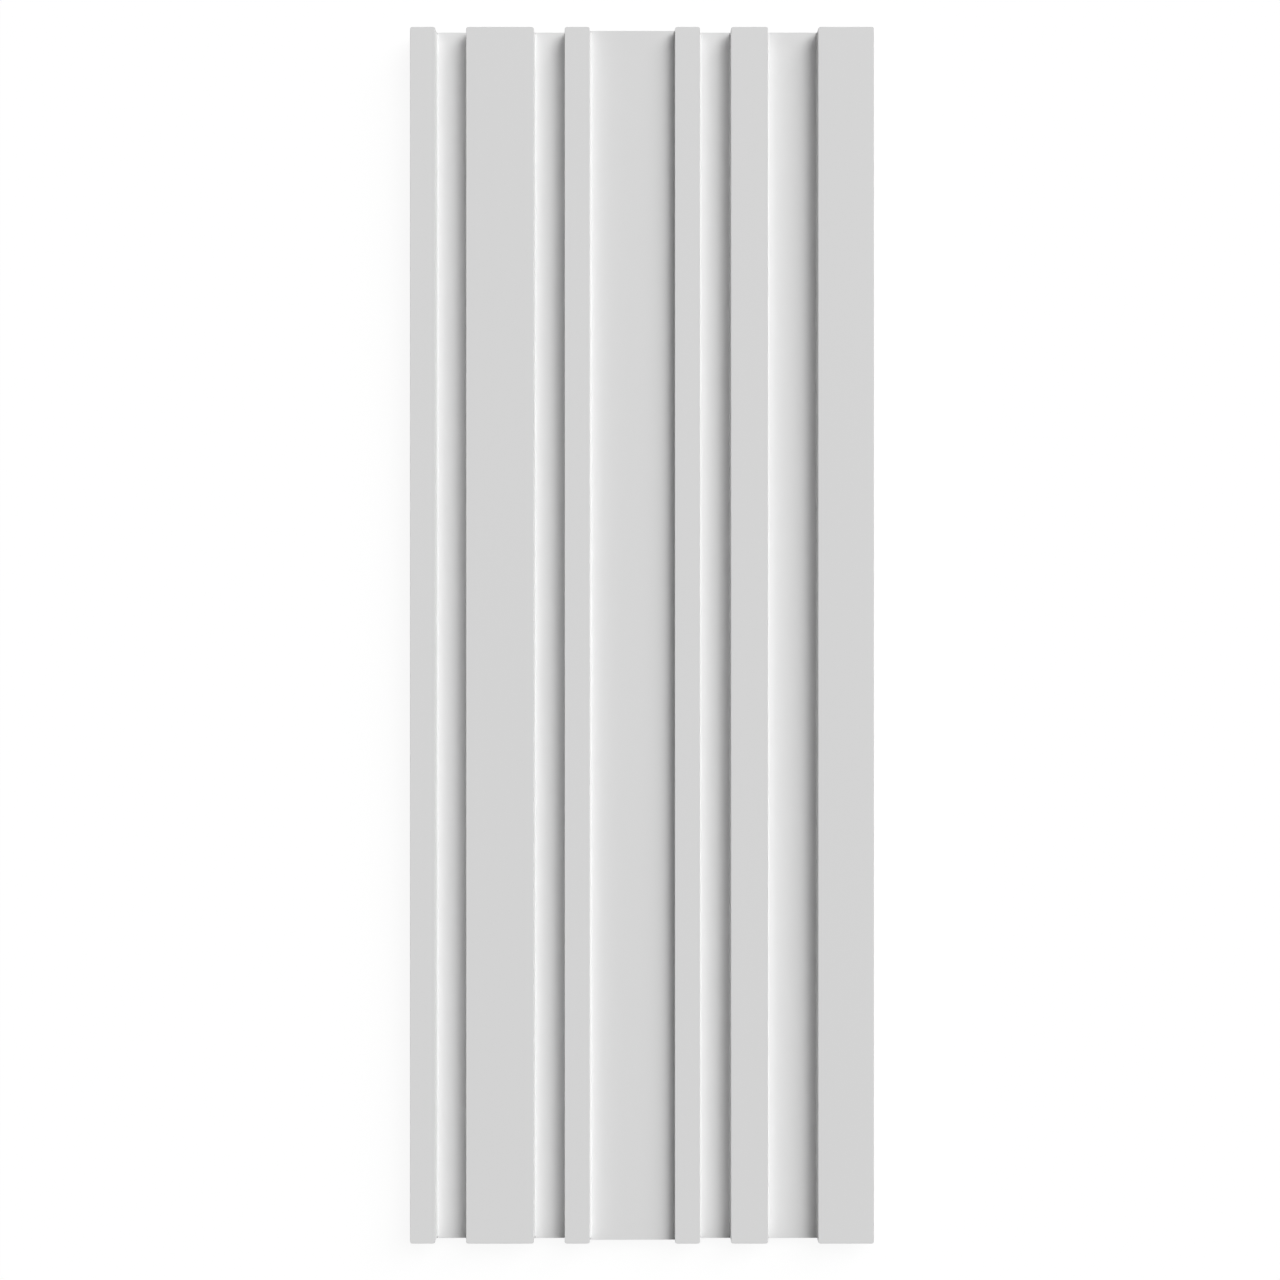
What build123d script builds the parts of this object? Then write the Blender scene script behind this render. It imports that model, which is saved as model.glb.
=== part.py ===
import os

from build123d import *

# A straight length of ribbed wall panel, formed in one piece with the same section all along.
# It lies on its flat back with the ribbed face up: X runs across the ribs and Y along them.
# The origin is in the middle of the back.

# Length along the ribs, and thickness from the back to the rib tops
panel_length = 655.5
panel_thickness = 16

# Widths of the flat-topped ribs
narrow_rib = 13.6
broad_rib = 36.5
medium_rib = 20
edge_rib = 30.1

# Widths of the square hollows between the ribs, and their depths below the rib tops
narrow_groove = 16.6
wide_groove = 27
groove_depth = 9.2
channel_width = 45.8
channel_depth = 6.4

# Small radii round the rib tops, in the inner corners of the hollows and on the ribs' upright corners
arris_radius = 0.2
root_radius = 0.8
corner_radius = 1.3

# Ribs and hollows in turn across the face, from the left side to the right: width, depth
bays = [
    (narrow_rib, 0),
    (narrow_groove, groove_depth),
    (broad_rib, 0),
    (narrow_groove, groove_depth),
    (narrow_rib, 0),
    (channel_width, channel_depth),
    (narrow_rib, 0),
    (narrow_groove, groove_depth),
    (medium_rib, 0),
    (wide_groove, groove_depth),
    (edge_rib, 0),
]
panel_width = sum(width for width, depth in bays)


def hollow(middle, width, depth):
    """The space between two ribs. Past the panel's ends it widens round the ribs' upright corners."""
    mouth = 2 * (corner_radius + root_radius)
    with BuildPart() as space:
        with BuildSketch(Plane((middle, 0, panel_thickness))) as plan:
            Rectangle(width, panel_length)
            with GridLocations(0, panel_length + mouth, 1, 2):
                Rectangle(width + 2 * mouth, mouth)
            rib_corners = plan.vertices().sort_by(lambda corner: abs(corner.X))[:4]
            fillet(rib_corners, radius=corner_radius)
        extrude(amount=-depth)
        floor = space.faces().sort_by(Axis.Z)[0]
        fillet(floor.edges(), radius=root_radius)
    return space.part


hollows = []
left_side = -panel_width / 2
for width, depth in bays:
    if depth > 0:
        hollows.append(hollow(left_side + width / 2, width, depth))
    left_side += width

with BuildPart() as panel:
    with BuildSketch() as back:
        Rectangle(panel_width, panel_length)
        fillet(back.vertices(), radius=corner_radius)
    extrude(amount=panel_thickness)
    add(hollows, mode=Mode.SUBTRACT)
    rib_tops = panel.faces().filter_by(Axis.Z).group_by(Axis.Z)[-1]
    fillet(rib_tops.edges(), radius=arris_radius)
panel.part.label = "wall_panel"

os.makedirs("parts", exist_ok=True)
export_step(panel.part, "parts/wall_panel.step")
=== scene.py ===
import math

import bmesh
import bpy
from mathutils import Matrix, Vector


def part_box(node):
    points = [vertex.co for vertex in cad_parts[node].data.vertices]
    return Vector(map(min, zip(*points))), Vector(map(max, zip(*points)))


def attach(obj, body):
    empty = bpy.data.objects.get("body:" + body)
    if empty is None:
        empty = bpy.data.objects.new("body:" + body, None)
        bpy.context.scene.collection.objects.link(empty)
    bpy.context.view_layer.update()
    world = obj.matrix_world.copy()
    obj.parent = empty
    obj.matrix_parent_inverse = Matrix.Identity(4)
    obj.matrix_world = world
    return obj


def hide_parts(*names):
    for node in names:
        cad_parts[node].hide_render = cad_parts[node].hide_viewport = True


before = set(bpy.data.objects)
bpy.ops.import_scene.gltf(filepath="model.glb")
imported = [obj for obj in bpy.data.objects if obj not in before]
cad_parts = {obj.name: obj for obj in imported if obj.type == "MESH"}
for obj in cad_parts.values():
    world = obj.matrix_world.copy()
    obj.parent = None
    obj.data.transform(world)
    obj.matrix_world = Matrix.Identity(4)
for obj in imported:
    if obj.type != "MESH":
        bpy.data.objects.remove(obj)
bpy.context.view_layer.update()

# The panel is one straight length of foamed polymer, formed with its ribs and grooves in one piece.
# It is sawn to length, its cut edges are eased, and its face and sides carry a thin matte primer.
# The back is left bare for glue, so the panel lies flat on it here as it would on a wall.

panel_low, panel_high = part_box("wall_panel")
panel_width = panel_high.x - panel_low.x
weld_distance = 1e-6
no_bend = 0.0
flat_angle = math.radians(0.5)
straight_angle = math.radians(179.9)
square_corner = math.radians(60)
crease_angle = math.radians(20)
eased_edge = 0.00012
eased_steps = 2
round_profile = 0.5
shortest_cut = 0.005
level_limit = 0.9
cut_limit = 0.05
largest_faces_lead = 100
primed, sawn, planed = range(3)


def bend(edge):
    """The angle between the two faces at an edge. An edge without two faces counts as flat."""
    return edge.calc_face_angle(no_bend)


def is_sharp(edge):
    """Whether an edge is square, and is on the back or is the straight cut end of a hollow's floor."""
    on_back = all(corner.co.z < weld_distance for corner in edge.verts)
    return bend(edge) > square_corner and (on_back or edge.calc_length() > shortest_cut)


def has_straight_corner(face):
    """Whether a face has four corners, one of them on a straight side, as where the easing runs out."""
    return len(face.verts) == 4 and any(corner.calc_angle() > straight_angle for corner in face.loops)


def panel_mesh(node):
    """The panel's mesh in clean strips, its long sharp edges eased and its short ones kept crisp."""
    shape = bmesh.new()
    shape.from_mesh(node.data)
    bmesh.ops.remove_doubles(shape, verts=shape.verts, dist=weld_distance)
    bmesh.ops.dissolve_limit(shape, angle_limit=flat_angle, verts=shape.verts, edges=shape.edges)
    eased_edges = [edge for edge in shape.edges if is_sharp(edge)]
    for edge in shape.edges:
        edge.smooth = edge in eased_edges or bend(edge) < crease_angle
    bmesh.ops.bevel(
        shape,
        geom=eased_edges,
        offset=eased_edge,
        offset_type="OFFSET",
        segments=eased_steps,
        profile=round_profile,
        affect="EDGES",
        clamp_overlap=False,
    )
    run_outs = [face for face in shape.faces if has_straight_corner(face)]
    bmesh.ops.triangulate(shape, faces=run_outs, quad_method="BEAUTY")
    for face in shape.faces:
        face.smooth = True
        face.material_index = primed
        if abs(face.normal.y) > cut_limit:
            face.material_index = sawn
        if face.normal.z < -level_limit:
            face.material_index = planed
    mesh = bpy.data.meshes.new("primed_panel")
    shape.to_mesh(mesh)
    shape.free()
    return mesh


class Wire:
    """An output socket of a node. Sums on wires add Math nodes to the same tree."""

    def __init__(self, socket):
        self.socket = socket

    @staticmethod
    def node(tree, kind, settings, sockets, output=0):
        """Adds a node, sets its settings, then fills or links its sockets, and returns one output."""
        made = tree.nodes.new(kind)
        for name, value in settings.items():
            setattr(made, name, value)
        for name, value in sockets.items():
            if isinstance(value, Wire):
                tree.links.new(value.socket, made.inputs[name])
            else:
                made.inputs[name].default_value = value
        return Wire(made.outputs[output])

    def sum(self, operation, first, second):
        """A Math node in this wire's tree, on two wires or numbers."""
        tree = self.socket.id_data
        return Wire.node(tree, "ShaderNodeMath", {"operation": operation}, {0: first, 1: second})

    def __add__(self, other):
        return self.sum("ADD", self, other)

    def __radd__(self, other):
        return self.sum("ADD", other, self)

    def __sub__(self, other):
        return self.sum("SUBTRACT", self, other)

    def __rsub__(self, other):
        return self.sum("SUBTRACT", other, self)

    def __mul__(self, other):
        return self.sum("MULTIPLY", self, other)

    def __rmul__(self, other):
        return self.sum("MULTIPLY", other, self)


def finish(name):
    """A new material with its node tree and its shader."""
    material = bpy.data.materials.new(name)
    material.use_nodes = True
    tree = material.node_tree
    return material, tree, tree.nodes["Principled BSDF"]


mm_per_metre = 1000


def grain(tree, per_mm, detail):
    """Noise over the panel, with its own number of grains for each millimetre along X, Y and Z."""
    place = Wire.node(tree, "ShaderNodeTexCoord", {}, {}, "Object")
    per_metre = [mm_per_metre * count for count in per_mm]
    stretch = {"operation": "MULTIPLY"}
    stretched = Wire.node(tree, "ShaderNodeVectorMath", stretch, {0: place, 1: per_metre})
    sockets = {"Vector": stretched, "Scale": 1.0, "Detail": detail}
    return Wire.node(tree, "ShaderNodeTexNoise", {"noise_dimensions": "3D"}, sockets)


mask_socket = 0
dark_socket = 6
light_socket = 7
colour_output = 2


def dress(tree, shader, tones, tone, roughness, height, relief, gloss):
    """Feeds a finish: its two tones and their mask, roughness, relief in metres and share of gloss."""
    dark, light = [(grey, grey, grey, 1.0) for grey in tones]
    blend = {mask_socket: tone, dark_socket: dark, light_socket: light}
    colour = Wire.node(tree, "ShaderNodeMix", {"data_type": "RGBA"}, blend, colour_output)
    bump = Wire.node(tree, "ShaderNodeBump", {}, {"Strength": 1.0, "Distance": relief, "Height": height})
    tree.links.new(colour.socket, shader.inputs["Base Color"])
    tree.links.new(roughness.socket, shader.inputs["Roughness"])
    tree.links.new(bump.socket, shader.inputs["Normal"])
    shader.inputs["Specular IOR Level"].default_value = gloss


def primer_finish():
    """Sprayed matte primer: a fine even stipple over faint lines from the die, all along the panel."""
    material, tree, shader = finish("matte_white_primer")
    stipple = grain(tree, per_mm=(2.2, 2.2, 2.2), detail=2)
    die_lines = grain(tree, per_mm=(0.9, 0.004, 0.9), detail=3)
    cloud = grain(tree, per_mm=(0.02, 0.008, 0.02), detail=2)
    dress(
        tree,
        shader,
        tones=(0.825, 0.835),
        tone=0.6 * cloud + 0.4 * die_lines,
        roughness=0.57 + 0.06 * stipple,
        height=stipple + 0.15 * die_lines,
        relief=14e-6,
        gloss=0.3,
    )
    return material


def sawn_finish():
    """Sawn polymer: fine closed cells, and faint upright marks of a fine blade."""
    material, tree, shader = finish("sawn_polymer")
    cells = grain(tree, per_mm=(3.0, 3.0, 3.0), detail=3)
    blade_marks = grain(tree, per_mm=(1.6, 1.6, 0.03), detail=2)
    dress(
        tree,
        shader,
        tones=(0.60, 0.72),
        tone=1.2 * cells + 1.2 * blade_marks - 0.7,
        roughness=0.68 + 0.16 * cells,
        height=cells + 0.6 * blade_marks,
        relief=30e-6,
        gloss=0.2,
    )
    return material


def bare_back_finish():
    """Bare polymer, planed along its length so that glue takes on it."""
    material, tree, shader = finish("planed_polymer")
    planing = grain(tree, per_mm=(1.2, 0.01, 1.2), detail=4)
    mottle = grain(tree, per_mm=(0.05, 0.03, 0.05), detail=3)
    dress(
        tree,
        shader,
        tones=(0.64, 0.74),
        tone=1.2 * planing + 1.2 * mottle - 0.7,
        roughness=0.66 + 0.16 * planing,
        height=planing,
        relief=25e-6,
        gloss=0.2,
    )
    return material


panel = bpy.data.objects.new("primed_panel", panel_mesh(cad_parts["wall_panel"]))
bpy.context.scene.collection.objects.link(panel)
for make_finish in (primer_finish, sawn_finish, bare_back_finish):
    panel.data.materials.append(make_finish())
flatten = panel.modifiers.new("level_faces", "WEIGHTED_NORMAL")
flatten.weight = largest_faces_lead
flatten.keep_sharp = True
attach(panel, "root")
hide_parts("wall_panel")

# The floor is one plain pale sheet, level with the panel's back.
# The camera sees it as white, and it keeps the panel's faint soft shadow.

floor_size = 8.0
floor_pale = (0.65, 0.65, 0.65, 1.0)
shadow_tone = (0.12, 0.12, 0.12, 1.0)
floor_glow = 0.91


def seen_directly(tree):
    """1 for what the camera sees, straight, mirrored or through glass, and 0 for other light."""
    path = tree.nodes.new("ShaderNodeLightPath")
    camera_ray = Wire(path.outputs["Is Camera Ray"])
    glossy_ray = Wire(path.outputs["Is Glossy Ray"])
    clear_ray = Wire(path.outputs["Is Transmission Ray"])
    total = camera_ray + glossy_ray + clear_ray
    return total.sum("MINIMUM", total, 1.0)


def floor_finish():
    """A pale sheet for the light that it throws back, and white with a soft shadow where it is seen."""
    material = bpy.data.materials.new("pale_floor")
    material.use_nodes = True
    tree = material.node_tree
    tree.nodes.clear()
    bounce = Wire.node(tree, "ShaderNodeBsdfDiffuse", {}, {"Color": floor_pale})
    shade = Wire.node(tree, "ShaderNodeBsdfDiffuse", {}, {"Color": shadow_tone})
    glow = Wire.node(tree, "ShaderNodeEmission", {}, {"Strength": floor_glow})
    white = Wire.node(tree, "ShaderNodeAddShader", {}, {0: shade, 1: glow})
    mixed = Wire.node(tree, "ShaderNodeMixShader", {}, {0: seen_directly(tree), 1: bounce, 2: white})
    output = tree.nodes.new("ShaderNodeOutputMaterial")
    tree.links.new(mixed.socket, output.inputs["Surface"])
    return material


floor_mesh = bpy.data.meshes.new("floor")
half = floor_size / 2
floor_corners = [(-half, -half, 0), (half, -half, 0), (half, half, 0), (-half, half, 0)]
floor_mesh.from_pydata(floor_corners, [], [(0, 1, 2, 3)])
floor = bpy.data.objects.new("floor", floor_mesh)
floor.data.materials.append(floor_finish())
bpy.context.scene.collection.objects.link(floor)

# Soft studio light comes from high on the right, past the panel's far end: a wide key lamp, with two
# weaker lamps beside it. A white room gives very little light of its own, and shows white behind.

soft_lamps = {
    "key_lamp": {"azimuth": 44, "height": 36, "width": 44, "strength": 0.703},
    "right_lamp": {"azimuth": 20, "height": 62, "width": 30, "strength": 0.168},
    "far_lamp": {"azimuth": 80, "height": 54, "width": 24, "strength": 0.166},
}
room_light = 0.0727
room_white = (1.0, 1.0, 1.0, 1.0)

for name, place in soft_lamps.items():
    lamp = bpy.data.lights.new(name, "SUN")
    lamp.energy = math.pi * place["strength"]
    lamp.angle = math.radians(place["width"])
    holder = bpy.data.objects.new(name, lamp)
    from_above = math.radians(90 - place["height"])
    holder.rotation_euler = (0, from_above, math.radians(place["azimuth"]))
    bpy.context.scene.collection.objects.link(holder)

room = bpy.data.worlds.new("white_room")
room.use_nodes = True
bpy.context.scene.world = room
background = room.node_tree.nodes["Background"]
background.inputs["Color"].default_value = room_white
room_strength = room_light + (1 - room_light) * seen_directly(room.node_tree)
room.node_tree.links.new(room_strength.socket, background.inputs["Strength"])

# The camera looks straight down on the panel's face from about a metre above it.
# Its height follows from how wide the panel stands in the square picture.

picture_pixels = 1280
left_edge_pixel = 410.03
right_edge_pixel = 874.1
middle_row_pixel = 635.2
lens = 50
sensor = 36

pixel = panel_width / (right_edge_pixel - left_edge_pixel)
right_of_middle = (left_edge_pixel + right_edge_pixel) / 2 - picture_pixels / 2
above_middle = picture_pixels / 2 - middle_row_pixel
camera_height = panel_high.z + picture_pixels * pixel * lens / sensor
camera_data = bpy.data.cameras.new("camera")
camera_data.lens = lens
camera_data.sensor_width = sensor
camera = bpy.data.objects.new("camera", camera_data)
camera.location = (-right_of_middle * pixel, -above_middle * pixel, camera_height)
bpy.context.scene.collection.objects.link(camera)
bpy.context.scene.camera = camera
bpy.context.scene.view_settings.view_transform = "Standard"
